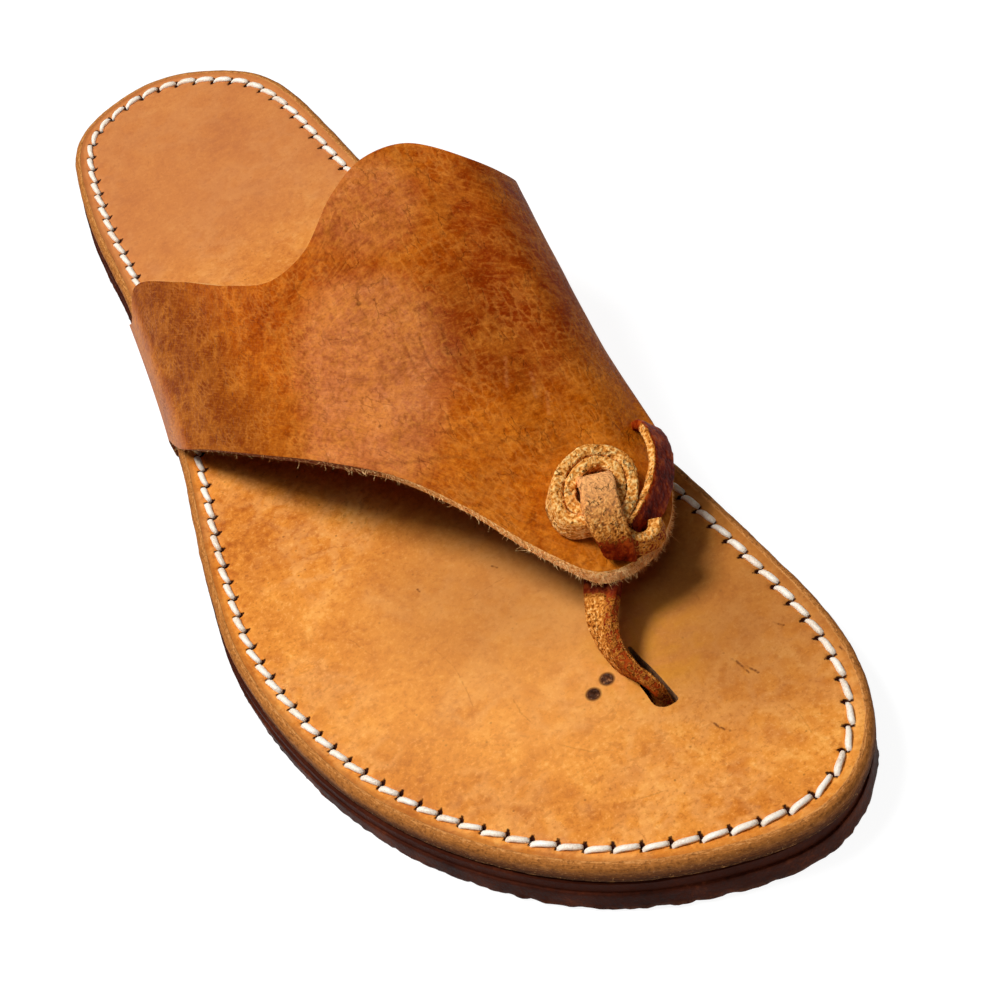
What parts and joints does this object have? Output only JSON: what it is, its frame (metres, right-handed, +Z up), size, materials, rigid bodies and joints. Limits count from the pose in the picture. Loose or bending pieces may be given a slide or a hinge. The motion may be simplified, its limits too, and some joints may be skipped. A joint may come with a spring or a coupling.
{
  "type": "toe post sandal",
  "caption": "Handmade leather toe post sandal for the right foot, with a folded leather instep strap tucked into a stitched, layered sole and a knotted toe thong.",
  "frame": {"origin": "on the floor under the middle of the sole's box", "axes": "+Z up, -Y towards the toe, +X towards the inner side of the right foot"},
  "size_m": [0.0921, 0.241, 0.0541],
  "materials": {
    "dark_brown_rubber": "matt, trimmed edge with a fine step round its top",
    "tan_leather": "smooth vegetable-tanned grain, lightly scratched, raw fibrous edge",
    "saddle_leather": "waxed saddle tan grain with fine creases, raw suede edges",
    "suede_strip": "flesh-side suede with a dark red-brown grain face",
    "dark_iron": "dark, worn nail heads"
  },
  "bodies": {
    "root": {"outsole": "dark_brown_rubber", "footbed": "tan_leather", "upper": "saddle_leather", "toe_thong": "suede_strip", "nail_1": "dark_iron", "nail_2": "dark_iron"}
  },
  "joints": []
}
